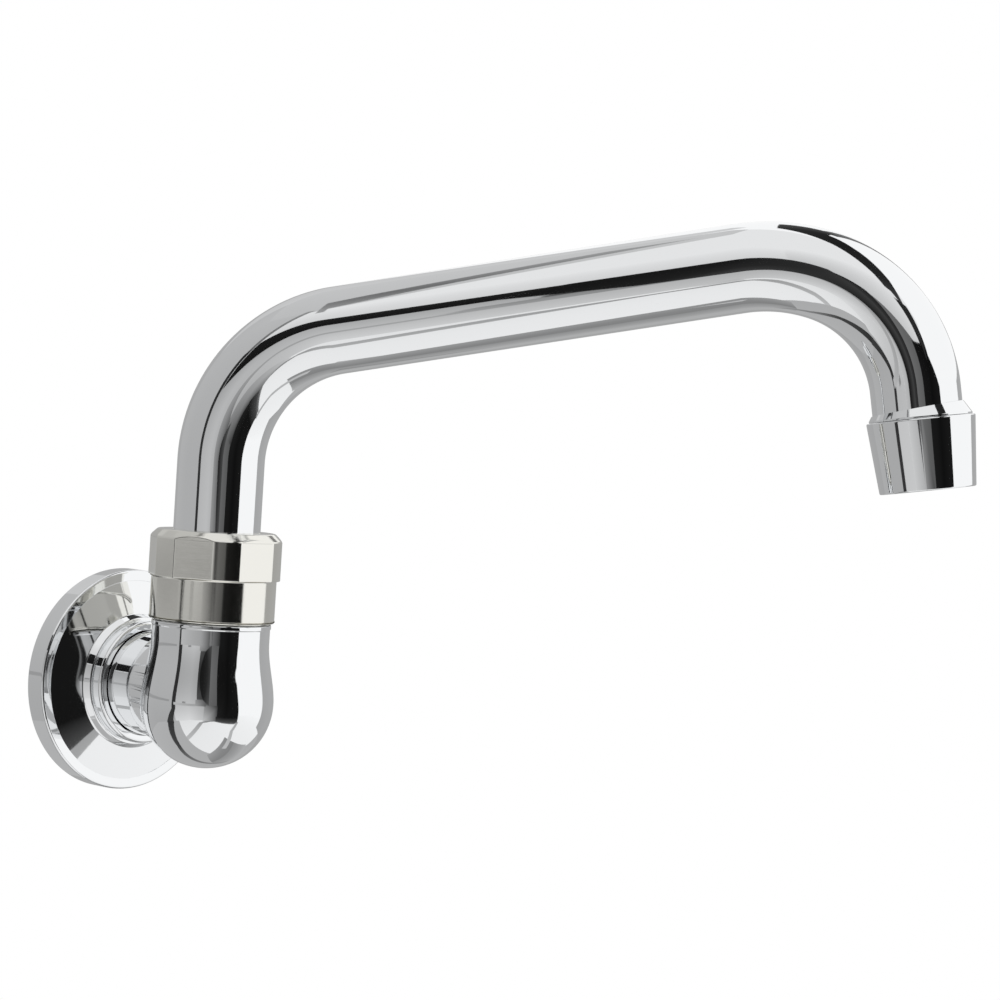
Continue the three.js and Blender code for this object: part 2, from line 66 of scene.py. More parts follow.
@dataclass(frozen=True)
class Stretch:
    """A straight or a bend of the tube's centre line, in the spout's plane. Angles are in degrees."""

    start: Vector
    heading: float
    length: float
    turn: float
    radius: float

    def ahead(self) -> Vector:
        """Direction in which the stretch starts."""
        return Vector((math.cos(math.radians(self.heading)), 0, math.sin(math.radians(self.heading))))

    def centre(self) -> Vector:
        """Centre of a bend, to the right of the way ahead."""
        heading = math.radians(self.heading)
        return self.start + self.radius * Vector((math.sin(heading), 0, -math.cos(heading)))

    def end(self) -> Vector:
        """Follows the stretch to its end.

        Returns:
            Where it ends.
        """
        if self.radius == 0:
            return self.start + self.length * self.ahead()
        turned = math.radians(self.heading - self.turn)
        return self.centre() + self.radius * Vector((-math.sin(turned), 0, math.cos(turned)))


@dataclass(frozen=True)
class Layout:
    """Where the faucet's axes lie, in millimetres and degrees."""

    wall_to_axis: float = 42.5
    swing: float = 35.5
    tube_bottom: float = 40.0
    riser_top: float = 67.5
    first_bend: float = 41.0
    run_slope: float = 11.8
    run_length: float = 117.0
    second_bend: float = 51.0
    second_turn: float = 27.3
    drop_bend: float = 38.3
    outlet_lean: float = 9.5
    outlet_tail: float = 7.9
    bush_offset: float = 0.65

    def along_leg(self) -> Matrix:
        """Placement of a piece turned about the leg: its height is the distance from the wall."""
        return Matrix.Rotation(math.radians(90), 4, "X")

    def along_neck(self) -> Matrix:
        """Placement of a piece turned about the upright swing axis."""
        return Matrix.Translation((0, -self.wall_to_axis, 0))

    def in_spout(self) -> Matrix:
        """Placement of the spout's plane, where X is the reach and Z is the height."""
        return self.along_neck() @ Matrix.Rotation(math.radians(self.swing - 90), 4, "Z")

    def stretches(self) -> list[Stretch]:
        """Lays out the tube's centre line from its foot to the outlet.

        Returns:
            The riser, the first bend, the run, the two bends at its end and the straight tail.
        """
        drop_turn = self.run_slope + 90 - self.outlet_lean - self.second_turn
        plan = (
            (self.riser_top - self.tube_bottom, 0, 0),
            (0, 90 - self.run_slope, self.first_bend),
            (self.run_length, 0, 0),
            (0, self.second_turn, self.second_bend),
            (0, drop_turn, self.drop_bend),
            (self.outlet_tail, 0, 0),
        )
        laid: list[Stretch] = []
        place = Vector((0, 0, self.tube_bottom))
        heading = 90.0
        for length, turn, radius in plan:
            laid.append(Stretch(place, heading, length, turn, radius))
            place = laid[-1].end()
            heading -= turn
        return laid

    def at_tube_end(self) -> Matrix:
        """Placement of a piece turned about the tube's end, which is at height 0."""
        lean = Matrix.Rotation(-math.radians(self.outlet_lean), 4, "Y")
        return self.in_spout() @ Matrix.Translation(self.stretches()[-1].end()) @ lean

    def at_outlet(self) -> Matrix:
        """Placement of a piece turned about the bush's axis, a little out of the tube's."""
        return self.at_tube_end() @ Matrix.Translation((self.bush_offset, 0, 0))


LAYOUT = Layout()

# ---------------------------------------------------------------- mesh tools

# Distances in millimetres under which points are one, lie on the axis, or leave an edge or face no size.
WELD = 1e-4
ON_AXIS = 1e-6
NO_LENGTH = 1e-7
NO_SIZE = 1e-6
# A corner that is open wider than this many degrees isn't rounded.
NEARLY_STRAIGHT = 179.0
ROUNDING_STEPS = 7
TURNING_STEPS = 128
# Edges sharper than this many degrees stay sharp.
SHARP_EDGE = 35.0
# Highest weight of large faces over small ones, so that flats stay flat up to their rounded edges.
FLAT_WEIGHT = 100


@dataclass(frozen=True)
class Corner:
    """One corner of a turned piece's profile, with the radius that rounds it."""

    radius: float
    height: float
    fillet: float = 0.0


class Joining(Enum):
    """How a tool changes a piece."""

    ADD = "UNION"
    CUT = "DIFFERENCE"
    KEEP_COMMON = "INTERSECT"


def plug(radius: float, bottom: float, top: float) -> list[Corner]:
    """Gives the profile of a plain cylinder, from its axis outwards and back.

    Args:
        radius: Its radius.
        bottom: Height of its lower end.
        top: Height of its upper end.

    Returns:
        The four corners.
    """
    return [Corner(0, bottom), Corner(radius, bottom), Corner(radius, top), Corner(0, top)]


def rounded_outline(corners: Sequence[Corner]) -> list[Vector]:
    """Rounds the corners of a closed profile.

    Args:
        corners: The profile's corners in order.

    Returns:
        Points in the XZ plane, with X as the radius and Z as the height.
    """
    places = [Vector((corner.radius, 0, corner.height)) for corner in corners]
    points: list[Vector] = []
    for index, corner in enumerate(corners):
        here = places[index]
        to_last = (places[index - 1] - here).normalized()
        to_next = (places[(index + 1) % len(places)] - here).normalized()
        opening = to_last.angle(to_next)
        if corner.fillet == 0 or opening > math.radians(NEARLY_STRAIGHT):
            points.append(here)
            continue
        setback = corner.fillet / math.tan(opening / 2)
        centre = here + (to_last + to_next).normalized() * (corner.fillet / math.sin(opening / 2))
        first = here + to_last * setback - centre
        last = here + to_next * setback - centre
        for step in range(ROUNDING_STEPS + 1):
            points.append(centre + corner.fillet * first.slerp(last, step / ROUNDING_STEPS))
    return points


def new_object(name: str, data: bpy.types.ID) -> bpy.types.Object:
    """Links a new object that holds a mesh, a camera or a lamp.

    Args:
        name: The object's name.
        data: What it holds.

    Returns:
        The object, at the origin.
    """
    made = bpy.data.objects.new(name, data)
    bpy.context.scene.collection.objects.link(made)
    return made


def nodes_of(made: bpy.types.Material | bpy.types.World) -> tuple[bpy.types.Nodes, bpy.types.NodeLinks]:
    """Turns on a material's or world's nodes, and gives them with their links."""
    made.use_nodes = True
    return made.node_tree.nodes, made.node_tree.links


def object_from(work: bmesh.types.BMesh, name: str) -> bpy.types.Object:
    """Turns a bmesh in metres into an object.

    Args:
        work: The bmesh, which is freed.
        name: The object's name.

    Returns:
        The object.
    """
    mesh = bpy.data.meshes.new(name)
    work.to_mesh(mesh)
    work.free()
    return new_object(name, mesh)


def placed_piece(work: bmesh.types.BMesh, name: str, place: Matrix) -> bpy.types.Object:
    """Turns a bmesh in millimetres into a placed object in metres.

    Args:
        work: The bmesh, which is freed.
        name: The object's name.
        place: Placement in millimetres.

    Returns:
        The object, with smooth faces and normals that point outwards.
    """
    bmesh.ops.remove_doubles(work, verts=work.verts, dist=WELD)
    bmesh.ops.recalc_face_normals(work, faces=work.faces)
    work.transform(Matrix.Scale(MM, 4) @ place)
    for face in work.faces:
        face.smooth = True
    return object_from(work, name)


def spin_profile(work: bmesh.types.BMesh, points: Sequence[Vector], steps: int, closed: bool) -> None:
    """Spins a profile about Z into a bmesh.

    Args:
        work: The bmesh to add to.
        points: The profile in the XZ plane.
        steps: Segments round the axis.
        closed: Whether the last point joins the first.
    """
    verts = [work.verts.new(point) for point in points]
    pairs = list(zip(verts, verts[1:]))
    if closed:
        pairs.append((verts[-1], verts[0]))
    edges = [work.edges.new(pair) for pair in pairs]
    bmesh.ops.spin(
        work,
        geom=[*verts, *edges],
        cent=(0, 0, 0),
        axis=(0, 0, 1),
        angle=2 * math.pi,
        steps=steps,
        use_merge=True,
        use_duplicate=False,
    )
    on_axis = [vert for vert in work.verts if math.hypot(vert.co.x, vert.co.y) < ON_AXIS]
    bmesh.ops.remove_doubles(work, verts=on_axis, dist=WELD)
    flat = [edge for edge in work.edges if edge.calc_length() < NO_LENGTH]
    bmesh.ops.dissolve_degenerate(work, edges=flat, dist=NO_SIZE)


def edges_of(grown: Iterable[bmesh.types.BMVert | bmesh.types.BMEdge]) -> list[bmesh.types.BMEdge]:
    """Picks the edges out of what an operator made."""
    return [item for item in grown if isinstance(item, bmesh.types.BMEdge)]


def turned_piece(name: str, corners: Sequence[Corner], place: Matrix, steps: int = TURNING_STEPS,
                 closed: bool = True) -> bpy.types.Object:
    """Makes a turned piece from the corners of its profile.

    Args:
        name: The object's name.
        corners: The profile, in millimetres.
        place: Placement in millimetres.
        steps: Segments round the axis.
        closed: Whether the profile is a ring's section. If not, it starts and ends on the axis.

    Returns:
        The object.
    """
    work = bmesh.new()
    spin_profile(work, rounded_outline(corners), steps, closed)
    return placed_piece(work, name, place)


def bake_modifiers(piece: bpy.types.Object) -> None:
    """Applies a piece's modifiers to its mesh.

    Args:
        piece: The object.
    """
    graph = bpy.context.evaluated_depsgraph_get()
    shape = bpy.data.meshes.new_from_object(piece.evaluated_get(graph))
    piece.modifiers.clear()
    piece.data = shape


def combine(piece: bpy.types.Object, tool: bpy.types.Object, joining: Joining) -> None:
    """Changes a piece with a tool, and removes the tool.

    Args:
        piece: The object that is changed.
        tool: The object that is added, cut out or kept in common.
        joining: Which of the three.
    """
    boolean = piece.modifiers.new("shape", "BOOLEAN")
    boolean.operation = joining.value
    boolean.solver = "EXACT"
    boolean.object = tool
    bake_modifiers(piece)
    bpy.data.objects.remove(tool)


def sharpen(piece: bpy.types.Object) -> None:
    """Marks a piece's sharp edges and weights its normals by face, so that flats reflect flat.

    Args:
        piece: The object.
    """
    piece.data.set_sharp_from_angle(angle=math.radians(SHARP_EDGE))
    weighted = piece.modifiers.new("weighted_normals", "WEIGHTED_NORMAL")
    weighted.keep_sharp = True
    weighted.weight = FLAT_WEIGHT


# ---------------------------------------------------------------- finishes

# Values of the smudge noise between which the roughness rises.
SMUDGE_START = 0.35
SMUDGE_FULL = 0.75
SMUDGE_DETAIL = 4
RELIEF_DETAIL = 3
# Depth of the fine relief in metres.
RELIEF_DEPTH = 0.00002


class Pattern(Enum):
    """How a finish is worked on the piece."""

    POLISHED = "polished"
    TURNED = "turned"
    MOULDED = "moulded"


# How fine each pattern's relief is, and how it is drawn out along X, Y and Z.
RELIEF_SCALES = {Pattern.TURNED: 9000, Pattern.MOULDED: 2500}
RELIEF_STRETCHES = {Pattern.TURNED: (0.02, 0.02, 1), Pattern.MOULDED: (1, 1, 1)}


@dataclass(frozen=True)
class Finish:
    """A finish and the small marks that show on it."""

    name: str
    slot: str
    color: tuple[float, float, float]
    metallic: float
    roughness: float
    smudge: float
    pattern: Pattern = Pattern.POLISHED
    relief: float = 0.0
    grain: float = 60.0

    def material(self) -> bpy.types.Material:
        """Builds the node material.

        Returns:
            The material, which reads Object coordinates.
        """
        made = bpy.data.materials.new(self.name)
        nodes, links = nodes_of(made)
        shader = nodes["Principled BSDF"]
        shader.inputs["Base Color"].default_value = (*self.color, 1)
        shader.inputs["Metallic"].default_value = self.metallic
        place = nodes.new("ShaderNodeTexCoord")
        noise = nodes.new("ShaderNodeTexNoise")
        noise.inputs["Scale"].default_value = self.grain
        noise.inputs["Detail"].default_value = SMUDGE_DETAIL
        links.new(place.outputs["Object"], noise.inputs["Vector"])
        spread = nodes.new("ShaderNodeMapRange")
        spread.inputs["From Min"].default_value = SMUDGE_START
        spread.inputs["From Max"].default_value = SMUDGE_FULL
        spread.inputs["To Min"].default_value = self.roughness
        spread.inputs["To Max"].default_value = self.roughness + self.smudge
        links.new(noise.outputs["Fac"], spread.inputs["Value"])
        links.new(spread.outputs["Result"], shader.inputs["Roughness"])
        if self.pattern is not Pattern.POLISHED:
            self.add_relief(nodes, links, place, shader)
        return made

    def add_relief(self, nodes: bpy.types.Nodes, links: bpy.types.NodeLinks, place: bpy.types.Node,
                   shader: bpy.types.Node) -> None:
        """Adds the fine relief of turning lines or moulded grain.

        Args:
            nodes: The material's nodes.
            links: Its links.
            place: The coordinate node.
            shader: The surface shader.
        """
        stretch = nodes.new("ShaderNodeMapping")
        stretch.vector_type = "POINT"
        stretch.inputs["Scale"].default_value = RELIEF_STRETCHES[self.pattern]
        links.new(place.outputs["Object"], stretch.inputs["Vector"])
        marks = nodes.new("ShaderNodeTexNoise")
        marks.inputs["Scale"].default_value = RELIEF_SCALES[self.pattern]
        marks.inputs["Detail"].default_value = RELIEF_DETAIL
        links.new(stretch.outputs["Vector"], marks.inputs["Vector"])
        bump = nodes.new("ShaderNodeBump")
        bump.inputs["Strength"].default_value = self.relief
        bump.inputs["Distance"].default_value = RELIEF_DEPTH
        links.new(marks.outputs["Fac"], bump.inputs["Height"])
        links.new(bump.outputs["Normal"], shader.inputs["Normal"])


CHROME = Finish("polished_chrome", "chrome", (0.91, 0.92, 0.93), metallic=1.0, roughness=0.035,
                smudge=0.015)
NICKEL = Finish("satin_nickel", "nickel", (0.86, 0.85, 0.8), metallic=1.0, roughness=0.09, smudge=0.03,
                pattern=Pattern.TURNED, relief=0.2)
BRASS = Finish("machined_brass", "brass", (0.8, 0.62, 0.3), metallic=1.0, roughness=0.22, smudge=0.06,
               pattern=Pattern.TURNED, relief=0.4, grain=80)
STAINLESS = Finish("stainless_steel", "stainless", (0.66, 0.66, 0.65), metallic=1.0, roughness=0.25,
                   smudge=0.08)
RUBBER = Finish("black_rubber", "rubber", (0.02, 0.02, 0.02), metallic=0.0, roughness=0.62, smudge=0.1,
                pattern=Pattern.MOULDED, relief=0.3, grain=90)
ACETAL = Finish("white_acetal", "acetal", (0.86, 0.85, 0.81), metallic=0.0, roughness=0.4, smudge=0.08,
                pattern=Pattern.MOULDED, relief=0.15, grain=90)
GREY_PLASTIC = Finish("grey_plastic", "grey_plastic", (0.3, 0.32, 0.34), metallic=0.0, roughness=0.42,
                      smudge=0.1, pattern=Pattern.MOULDED, relief=0.2, grain=90)


class Wardrobe:
    """Keeps one material for each finish and puts it on pieces and nodes."""

    def __init__(self) -> None:
        """Starts with no materials made."""
        self.made: dict[str, bpy.types.Material] = {}

    def dress(self, piece: bpy.types.Object, finish: Finish) -> None:
        """Puts a finish on a piece as its only material.

        Args:
            piece: The piece or CAD node.
            finish: Its finish.
        """
        if finish.name not in self.made:
            self.made[finish.name] = finish.material()
        piece.data.materials.clear()
        piece.data.materials.append(self.made[finish.name])

    def settle(self, piece: bpy.types.Object, node: str, body: str, finish: Finish) -> None:
        """Finishes a piece that stands for a CAD node.

        Args:
            piece: The piece.
            node: The CAD node that it replaces.
            body: The body that it rides on.
            finish: Its finish.
        """
        sharpen(piece)
        self.dress(piece, finish)
        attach(piece, body)
        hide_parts(node)
        LOG.info("%s stands for %s with %d faces", piece.name, node, len(piece.data.polygons))


# ---------------------------------------------------------------- wall side


@dataclass
class WallSide:
    """The flange and its collar, turned about the leg."""

    flange_radius: float = 33.0
    rim_depth: float = 6.5
    rim_round: float = 0.8
    lip_width: float = 3.2
    lip_rise: float = 0.58
    face_edge: float = 6.95
    face_rise: float = 2.8
    wall: float = 1.8
    inner_step: float = 0.5
    hub_radius: float = 20.1
    hub_fillet: float = 0.9
    hub_front_radius: float = 18.9
    hub_front: float = 11.7
    hub_round: float = 0.7
    bore: float = 15.9
    collar_radius: float = 18.3
    collar_length: float = 3.9
    collar_round: float = 1.2
    screw_hole: float = 1.45
    screw_hole_depth: float = 3.0
    flange_steps: int = 160
    hole_steps: int = 32

    def flange(self) -> bpy.types.Object:
        """Makes the pressed and turned flange: rim, flat lip, dished face and hub.

        Returns:
            The flange.
        """
        lip_top = self.rim_depth + self.lip_rise
        lip_inner = self.flange_radius - self.lip_width
        hub_back = self.face_edge + self.face_rise
        inner = self.flange_radius - self.wall
        corners = [
            Corner(inner, 0, 0.2),
            Corner(self.flange_radius, 0, 0.4),
            Corner(self.flange_radius, lip_top, self.rim_round),
            Corner(lip_inner, lip_top, 0.1),
            Corner(lip_inner, self.face_edge, 0.04),
            Corner(self.hub_radius, hub_back, self.hub_fillet),
            Corner(self.hub_front_radius, self.hub_front, self.hub_round),
            Corner(self.bore, self.hub_front, 0.2),
            Corner(self.bore, hub_back - self.wall, 0.3),
            Corner(lip_inner - self.inner_step, self.face_edge - self.wall, 0.5),
            Corner(inner, self.rim_depth - self.wall, 0.4),
        ]
        return turned_piece("flange_shell", corners, LAYOUT.along_leg(), self.flange_steps)

    def collar(self) -> bpy.types.Object:
        """Makes the lock collar with the hole for its set screw.

        Returns:
            The collar.
        """
        back = self.hub_front
        front = back + self.collar_length
        corners = [
            Corner(self.bore, back, 0.15),
            Corner(self.collar_radius, back, 0.45),
            Corner(self.collar_radius, front, self.collar_round),
            Corner(self.bore, front, 0.15),
        ]
        ring = turned_piece("collar_ring", corners, LAYOUT.along_leg())
        work = bmesh.new()
        bmesh.ops.create_cone(work, cap_ends=True, segments=self.hole_steps, radius1=self.screw_hole,
                              radius2=self.screw_hole, depth=2 * self.screw_hole_depth)
        middle = Matrix.Translation((0, -(back + front) / 2, -self.collar_radius))
        combine(ring, placed_piece(work, "drill", middle), Joining.CUT)
        return ring

    def build(self, wardrobe: Wardrobe) -> None:
        """Makes and dresses the wall side's pieces.

        Args:
            wardrobe: The finishes.
        """
        wardrobe.settle(self.flange(), "wall_flange", "faucet_body", CHROME)
        wardrobe.settle(self.collar(), "flange_collar", "faucet_body", CHROME)


# ---------------------------------------------------------------- elbow


@dataclass
class Elbow:
    """The casting: leg, boss, shell with its round bottom, bead and neck."""

    leg_radius: float = 15.6
    leg_back: float = 2.0
    boss_radius: float = 16.7
    boss_front: float = 26.0
    boss_round: float = 0.8
    shell_radius: float = 19.5
    shell_centre: float = -2.7
    shell_top_radius: float = 17.2
    taper_top: float = 15.0
    shell_top: float = 20.8
    bead_height: float = 1.5
    bead_rise: float = 0.25
    bead_foot: float = 0.2
    bead_edge: float = 0.1
    neck_radius: float = 15.2
    neck_top: float = 37.0
    neck_bore: float = 11.7
    neck_bore_bottom: float = 20.0
    waterway: float = 8.0
    socket_radius: float = 10.3
    socket_bottom: float = 20.0
    overshoot: float = 1.0
    bottom_step: int = 3
    taper_steps: int = 24
    bore_steps: int = 96

    def round_bottom(self) -> list[Vector]:
        """Draws the shell's round bottom as a quarter of a circle.

        Returns:
            Points from the axis outwards, without the circle's widest one.
        """
        centre = Vector((0, 0, self.shell_centre))
        points = []
        for turn in range(-90, 0, self.bottom_step):
            angle = math.radians(turn)
            points.append(centre + self.shell_radius * Vector((math.cos(angle), 0, math.sin(angle))))
        points[0].x = 0
        return points

    def taper(self) -> list[Vector]:
        """Draws the shell's soft taper, from its widest place to the straight part under the bead.

        Returns:
            Points upwards, without the top one.
        """
        rise = self.taper_top - self.shell_centre
        narrowing = self.shell_top_radius - self.shell_radius
        points = []
        for step in range(self.taper_steps):
            share = step / self.taper_steps
            radius = self.shell_radius + share * share * (3 - 2 * share) * narrowing
            points.append(Vector((radius, 0, self.shell_centre + share * rise)))
        return points

    def shell(self) -> bpy.types.Object:
        """Makes the upright shell, solid.

        Returns:
            The shell, named as the casting that it becomes.
        """
        bead_radius = self.shell_top_radius + self.bead_rise
        bead_bottom = self.shell_top - self.bead_height
        top = rounded_outline(
            [
                Corner(0, 0),
                Corner(self.shell_top_radius, self.taper_top),
                Corner(self.shell_top_radius, bead_bottom - self.bead_foot, 0.15),
                Corner(bead_radius, bead_bottom + self.bead_edge, 0.25),
                Corner(bead_radius, self.shell_top, 0.6),
                Corner(self.neck_radius, self.shell_top, 0.2),
                Corner(self.neck_radius, self.neck_top, 0.6),
                Corner(0, self.neck_top),
            ]
        )
        work = bmesh.new()
        spin_profile(work, [*self.round_bottom(), *self.taper(), *top[1:]], TURNING_STEPS, closed=False)
        return placed_piece(work, "elbow_casting", LAYOUT.along_neck())

    def leg(self) -> bpy.types.Object:
        """Makes the leg and its boss, solid.

        Returns:
            The leg.
        """
        corners = [
            Corner(0, self.leg_back),
            Corner(self.leg_radius, self.leg_back, 0.6),
            Corner(self.leg_radius, self.boss_front, 0.15),
            Corner(self.boss_radius, self.boss_front, self.boss_round),
            Corner(self.boss_radius, LAYOUT.wall_to_axis),
            Corner(0, LAYOUT.wall_to_axis),
        ]
        return turned_piece("leg", corners, LAYOUT.along_leg(), closed=False)

    def bores(self) -> list[bpy.types.Object]:
        """Makes the tools that bore the casting from the wall side and from the top.

        Returns:
            The tools: socket, waterway, riser and neck.
        """
        along_leg, along_neck = LAYOUT.along_leg(), LAYOUT.along_neck()
        waterway_end = LAYOUT.wall_to_axis + self.waterway
        tools = (
            (along_leg, plug(self.socket_radius, 0, self.socket_bottom)),
            (along_leg, plug(self.waterway, self.socket_bottom - self.overshoot, waterway_end)),
            (along_neck, plug(self.waterway, 0, self.neck_bore_bottom + self.overshoot)),
            (along_neck, plug(self.neck_bore, self.neck_bore_bottom, self.neck_top + self.overshoot)),
        )
        return [
            turned_piece("borer", outline, place, self.bore_steps, closed=False) for place, outline in tools
        ]

    def build(self, wardrobe: Wardrobe) -> None:
        """Makes and dresses the casting.

        Args:
            wardrobe: The finishes.
        """
        casting = self.shell()
        combine(casting, self.leg(), Joining.ADD)
        for tool in self.bores():
            combine(casting, tool, Joining.CUT)
        wardrobe.settle(casting, "elbow_body", "faucet_body", CHROME)


# ---------------------------------------------------------------- coupling nut


@dataclass
class CouplingNut:
    """The nut: hexagon above, plain skirt below."""

    flats: float = 36.9
    corners: float = 38.8
    hex_bottom: float = 33.5
    hex_top: float = 47.2
    chamfer: float = 2.2
    top_land: float = 17.1
    skirt_radius: float = 18.25
    skirt_bottom: float = 21.2
    skirt_overlap: float = 0.35
    thread_radius: float = 15.5
    ceiling: float = 42.6
    top_bore: float = 13.0
    overshoot: float = 1.0
    edge_round: float = 0.4
    edge_steps: int = 4
    edge_angle: float = 11.0
    steps: int = 144

    def hexagon(self) -> bpy.types.Object:
        """Makes the plain hexagon, with two of its corners along X.

        Returns:
            The hexagon, named as the nut that it becomes.
        """
        work = bmesh.new()
        reach = self.flats / math.sqrt(3)
        bmesh.ops.create_cone(work, cap_ends=True, segments=6, radius1=reach, radius2=reach,
                              depth=self.hex_top - self.hex_bottom)
        middle = Matrix.Translation((0, 0, (self.hex_top + self.hex_bottom) / 2))
        work.transform(middle @ Matrix.Rotation(math.radians(90), 4, "Z"))
        return placed_piece(work, "hex_nut", LAYOUT.along_neck())

    def blank(self) -> list[Corner]:
        """Draws the turned blank that the hexagon keeps in common, for its cut corners and top chamfer.

        Returns:
            The blank's corners.
        """
        half = self.corners / 2
        return [
            Corner(0, self.hex_bottom - self.overshoot),
            Corner(half, self.hex_bottom - self.overshoot),
            Corner(half, self.hex_top - self.chamfer),
            Corner(self.top_land, self.hex_top),
            Corner(0, self.hex_top),
        ]

    def skirt(self) -> list[Corner]:
        """Draws the skirt's solid profile, which reaches a little into the hexagon.

        Returns:
            The skirt's corners.
        """
        top = self.hex_bottom + self.skirt_overlap
        return [
            Corner(0, self.skirt_bottom),
            Corner(self.skirt_radius, self.skirt_bottom, 0.35),
            Corner(self.skirt_radius, top, 0.3),
            Corner(0, top),
        ]

    def bore(self) -> list[Corner]:
        """Draws the hollow: thread below, hole for the tube above.

        Returns:
            The hollow's corners.
        """
        return [
            Corner(0, self.skirt_bottom - self.overshoot),
            Corner(self.thread_radius, self.skirt_bottom - self.overshoot),
            Corner(self.thread_radius, self.ceiling),
            Corner(self.top_bore, self.ceiling),
            Corner(self.top_bore, self.hex_top + self.overshoot),
            Corner(0, self.hex_top + self.overshoot),
        ]

    def build(self, wardrobe: Wardrobe) -> None:
        """Makes and dresses the nut.

        Args:
            wardrobe: The finishes.
        """
        nut = self.hexagon()
        for outline, joining in (
            (self.blank(), Joining.KEEP_COMMON),
            (self.skirt(), Joining.ADD),
            (self.bore(), Joining.CUT),
        ):
            tool = turned_piece("turned_tool", outline, LAYOUT.along_neck(), self.steps, closed=False)
            combine(nut, tool, joining)
        edges = nut.modifiers.new("edges", "BEVEL")
        edges.width = self.edge_round * MM
        edges.segments = self.edge_steps
        edges.angle_limit = math.radians(self.edge_angle)
        edges.use_clamp_overlap = False
        bake_modifiers(nut)
        wardrobe.settle(nut, "coupling_nut", "faucet_body", NICKEL)


# ---------------------------------------------------------------- spout


@dataclass
class Spout:
    """The bent tube with its bush and aerator."""

    radius: float = 12.7
    wall: float = 1.2
    bush_bottom: float = -9.3
    bush_bore: float = 10.2
    bush_thread: float = 12.0
    shoulder_height: float = 4.6
    shoulder_radius: float = 14.5
    shoulder_top_radius: float = 11.8
    shoulder_foot: float = 0.5
    housing_top: float = -0.3
    housing_bottom: float = -20.5
    housing_top_radius: float = 15.3
    housing_bottom_radius: float = 13.55
    housing_gap: float = 0.1
    lip_width: float = 1.9
    lip_height: float = 1.6
    clearance: float = 0.3
    sides: int = 96
    straight_parts: int = 4
    bend_step: float = 1.5

    def tube(self) -> bpy.types.Object:
        """Sweeps the tube along its stretches: straights are extruded and bends are spun.

        Returns:
            The tube, with its wall.
        """
        work = bmesh.new()
        bmesh.ops.create_circle(work, segments=self.sides, radius=self.radius,
                                matrix=Matrix.Translation((0, 0, LAYOUT.tube_bottom)))
        rim = list(work.edges)
        for stretch in LAYOUT.stretches():
            if stretch.radius:
                rim = self.bend(work, rim, stretch)
                continue
            part = stretch.ahead() * stretch.length / self.straight_parts
            for _ in range(self.straight_parts):
                grown = bmesh.ops.extrude_edge_only(work, edges=rim)["geom"]
                moved = [item for item in grown if isinstance(item, bmesh.types.BMVert)]
                bmesh.ops.translate(work, verts=moved, vec=part)
                rim = edges_of(grown)
        tube = placed_piece(work, "bent_tube", LAYOUT.in_spout())
        thick = tube.modifiers.new("wall", "SOLIDIFY")
        thick.thickness = self.wall * MM
        thick.offset = -1
        bake_modifiers(tube)
        return tube

    def bend(self, work: bmesh.types.BMesh, rim: list[bmesh.types.BMEdge],
             stretch: Stretch) -> list[bmesh.types.BMEdge]:
        """Spins the tube's end round one bend.

        Args:
            work: The tube's bmesh.
            rim: The edges of its open end.
            stretch: The bend.

        Returns:
            The edges of the new end.
        """
        spun = bmesh.ops.spin(
            work,
            geom=rim,
            cent=stretch.centre(),
            axis=(0, 1, 0),
            angle=math.radians(stretch.turn),
            steps=round(stretch.turn / self.bend_step),
            use_merge=False,
            use_duplicate=False,
        )
        return edges_of(spun["geom_last"])

    def bush(self) -> bpy.types.Object:
        """Makes the bush with its sloped shoulder, bored for the tube.

        Returns:
            The bush.
        """
        seat = self.housing_top + self.housing_gap
        corners = [
            Corner(self.bush_bore, self.bush_bottom, 0.2),
            Corner(self.bush_thread, self.bush_bottom, 0.4),
            Corner(self.bush_thread, seat, 0.1),
            Corner(self.shoulder_radius, seat, 0.15),
            Corner(self.shoulder_radius, seat + self.shoulder_foot, 0.3),
            Corner(self.shoulder_top_radius, self.shoulder_height),
            Corner(self.bush_bore, self.shoulder_height),
        ]
        bush = turned_piece("outlet_shoulder", corners, LAYOUT.at_outlet())
        socket = plug(self.radius + self.clearance, 0, 2 * self.shoulder_height)
        combine(bush, turned_piece("socket", socket, LAYOUT.at_tube_end(), closed=False), Joining.CUT)
        return bush

    def housing(self) -> bpy.types.Object:
        """Makes the tapered aerator housing.

        Returns:
            The housing.
        """
        bore = self.bush_thread + self.clearance
        lip = bore - self.lip_width
        corners = [
            Corner(lip, self.housing_bottom, 0.3),
            Corner(self.housing_bottom_radius, self.housing_bottom, 0.5),
            Corner(self.housing_top_radius, self.housing_top, 0.4),
            Corner(bore, self.housing_top, 0.2),
            Corner(bore, self.housing_bottom + self.lip_height, 0.1),
            Corner(lip, self.housing_bottom + self.lip_height, 0.1),
        ]
        return turned_piece("aerator_shell", corners, LAYOUT.at_outlet())

    def build(self, wardrobe: Wardrobe) -> None:
        """Makes and dresses the spout's pieces.

        Args:
            wardrobe: The finishes.
        """
        wardrobe.settle(self.tube(), "spout_tube", "spout", CHROME)
        wardrobe.settle(self.bush(), "outlet_bush", "spout", CHROME)
        wardrobe.settle(self.housing(), "aerator_housing", "spout", CHROME)


# ---------------------------------------------------------------- camera and studio

# Middle of the studio, round which the upright cards stand.
MIDDLE = Vector((0.05, -0.12, 0.06))
# Exponent between a tone on screen and the light behind it.
SCREEN_CURVE = 2.2


